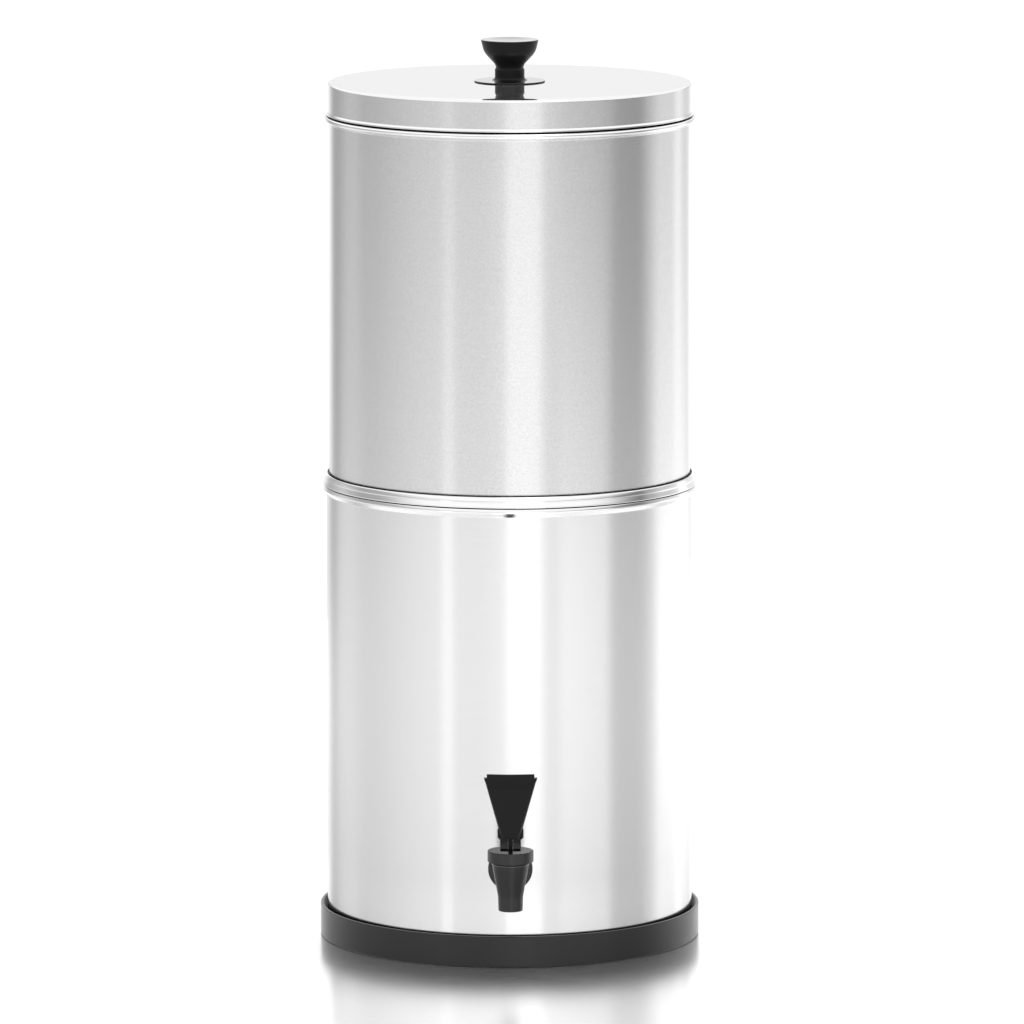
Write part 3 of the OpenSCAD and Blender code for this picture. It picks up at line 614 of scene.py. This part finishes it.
class Levels:
    """Adds math nodes to a node tree."""

    def __init__(self, tree):
        self.tree = tree

    def value(self, socket, value):
        """Links the socket to another one, or sets its number."""
        if isinstance(value, bpy.types.NodeSocket):
            self.tree.links.new(value, socket)
        else:
            socket.default_value = value

    def math(self, operation, a, b=0):
        node = self.tree.nodes.new("ShaderNodeMath")
        node.operation = operation
        self.value(node.inputs[0], a)
        self.value(node.inputs[1], b)
        return node.outputs[0]

    def step(self, value, start, end, low, high):
        """low before start, high after end, and a soft rise between them."""
        node = self.tree.nodes.new("ShaderNodeMapRange")
        node.interpolation_type = "SMOOTHSTEP"
        for key, number in (("From Min", start), ("From Max", end), ("To Min", low), ("To Max", high)):
            self.value(node.inputs[key], number)
        self.value(node.inputs["Value"], value)
        return node.outputs["Result"]

    def away(self, direction, azimuth):
        """Angle round Z, in degrees, between a level direction and an azimuth."""
        node = self.tree.nodes.new("ShaderNodeVectorMath")
        node.operation = "DOT_PRODUCT"
        self.value(node.inputs[0], direction)
        node.inputs[1].default_value = (math.sin(math.radians(azimuth)), -math.cos(math.radians(azimuth)), 0)
        return self.math("DEGREES", self.math("ARCCOSINE", node.outputs["Value"]))


def stage_piece(name, build):
    """A mesh that isn't part of the object, with a new material of its own, and that material's nodes."""
    mesh = bpy.data.meshes.new(name)
    shape = bmesh.new()
    build(shape)
    shape.to_mesh(mesh)
    shape.free()
    piece = bpy.data.objects.new(name, mesh)
    bpy.context.scene.collection.objects.link(piece)
    material = bpy.data.materials.new(name)
    material.use_nodes = True
    mesh.materials.append(material)
    return piece, material.node_tree


def studio_floor():
    """Glossy white sheet with light of its own. That light fades close to the object, which leaves a soft
    dark contact, and grows far from it, where the floor meets the white background."""
    _, tree = stage_piece("floor", lambda shape: bmesh.ops.create_circle(
        shape, cap_ends=True, segments=128, radius=STUDIO_R))
    levels = Levels(tree)
    white = tree.nodes["Principled BSDF"]
    set_sockets(white, Base_Color=grey(FLOOR_TONE), Roughness=0.5)
    mirror = tree.nodes.new("ShaderNodeBsdfAnisotropic")
    set_sockets(mirror, Color=grey(MIRROR_TONE), Roughness=MIRROR_ROUGH)
    sheet = tree.nodes.new("ShaderNodeMixShader")
    sheet.inputs[0].default_value = MIRROR_SHARE
    tree.links.new(white.outputs[0], sheet.inputs[1])
    tree.links.new(mirror.outputs[0], sheet.inputs[2])
    near = tree.nodes.new("ShaderNodeAmbientOcclusion")
    near.inputs["Distance"].default_value = CONTACT
    rays = tree.nodes.new("ShaderNodeLightPath")
    seen = levels.math("MAXIMUM", rays.outputs["Is Camera Ray"],
                       levels.math("MULTIPLY", rays.outputs["Is Glossy Ray"], FILL_IN_STEEL))
    place = tree.nodes.new("ShaderNodeTexCoord")
    distance = tree.nodes.new("ShaderNodeVectorMath")
    distance.operation = "LENGTH"
    tree.links.new(place.outputs["Object"], distance.inputs[0])
    strength = levels.math("ADD", levels.step(near.outputs["AO"], CONTACT_OPEN, 1, 0, NEAR_FILL),
                           levels.step(distance.outputs["Value"], *FAR, 0, FAR_FILL))
    fill = tree.nodes.new("ShaderNodeEmission")
    tree.links.new(levels.math("MULTIPLY", seen, strength), fill.inputs["Strength"])
    both = tree.nodes.new("ShaderNodeAddShader")
    tree.links.new(sheet.outputs[0], both.inputs[0])
    tree.links.new(fill.outputs[0], both.inputs[1])
    tree.links.new(both.outputs[0], tree.nodes["Material Output"].inputs["Surface"])


def level_direction(tree, split):
    """Level direction from the Z axis towards the point whose X and Y split gives."""
    level_part = tree.nodes.new("ShaderNodeCombineXYZ")
    tree.links.new(split.outputs["X"], level_part.inputs["X"])
    tree.links.new(split.outputs["Y"], level_part.inputs["Y"])
    direction = tree.nodes.new("ShaderNodeVectorMath")
    direction.operation = "NORMALIZE"
    tree.links.new(level_part.outputs[0], direction.inputs[0])
    return direction.outputs[0]


def light_tent():
    """Round wall of light that the camera sees through."""
    def wall(shape):
        bmesh.ops.create_cone(shape, segments=256, radius1=STUDIO_R, radius2=STUDIO_R, depth=TENT_TOP,
                              matrix=Matrix.Translation((0, 0, TENT_TOP / 2)))

    piece, tree = stage_piece("light_tent", wall)
    piece.visible_camera = False
    piece.visible_shadow = False
    levels = Levels(tree)
    tree.nodes.remove(tree.nodes["Principled BSDF"])
    place = tree.nodes.new("ShaderNodeTexCoord")
    split = tree.nodes.new("ShaderNodeSeparateXYZ")
    tree.links.new(place.outputs["Object"], split.inputs[0])
    direction = level_direction(tree, split)
    ends = list(TENT_LEVEL)
    for middle, half_width, edge, *gains in PANELS.values():
        away = levels.away(direction, middle)
        for i, gain in enumerate(gains):
            ends[i] = levels.math("ADD", ends[i],
                                  levels.step(away, half_width - edge, half_width + edge, gain, 0))
    glow = tree.nodes.new("ShaderNodeEmission")
    level = levels.step(split.outputs["Z"], TENT_LOW, TENT_HIGH, *ends)
    band = levels.math("MULTIPLY", level, levels.step(split.outputs["Z"], *BAND[:2], 1, BAND_SHARE))
    tree.links.new(levels.step(split.outputs["Z"], *BAND[2:], band, CEILING_LEVEL), glow.inputs["Strength"])
    tree.links.new(glow.outputs[0], tree.nodes["Material Output"].inputs["Surface"])


def studio_world():
    """White where the camera looks past the tent, and a plain ceiling for the rest."""
    world = bpy.data.worlds.new("studio")
    bpy.context.scene.world = world
    world.use_nodes = True
    levels = Levels(world.node_tree)
    rays = world.node_tree.nodes.new("ShaderNodeLightPath")
    background = world.node_tree.nodes["Background"]
    background.inputs["Color"].default_value = grey(1)
    levels.value(background.inputs["Strength"],
                 levels.math("MAXIMUM", rays.outputs["Is Camera Ray"], CEILING_LEVEL))


PHOTO_SIDE = 1024               # pixels
FOCAL_PX = 9068.6               # focal length, in pixels of the photograph
CAMERA_AT = (-0.0191, -5.9023, 1.1665)
CAMERA_DOWN = 8.536             # degrees below the horizon
CAMERA_TURN = -0.2              # degrees to the left of straight ahead


def camera():
    """The camera that was fitted to the arcs of the photo."""
    data = bpy.data.cameras.new("camera")
    data.sensor_width = 36
    data.lens = data.sensor_width * FOCAL_PX / PHOTO_SIDE
    data.clip_end = 50
    eye = bpy.data.objects.new("camera", data)
    eye.location = CAMERA_AT
    eye.rotation_euler = (math.radians(90 - CAMERA_DOWN), 0, math.radians(CAMERA_TURN))
    bpy.context.scene.collection.objects.link(eye)
    bpy.context.scene.camera = eye


def overhead_lamp():
    """A weak soft lamp above the object, a little in front of it."""
    data = bpy.data.lights.new("overhead", "AREA")
    data.shape = "DISK"
    data.size = LAMP_SIZE
    data.energy = LAMP_WATTS
    lamp = bpy.data.objects.new("overhead", data)
    lamp.location = LAMP_AT
    bpy.context.scene.collection.objects.link(lamp)


studio_floor()
light_tent()
studio_world()
overhead_lamp()
camera()
bpy.context.scene.view_settings.view_transform = "Standard"
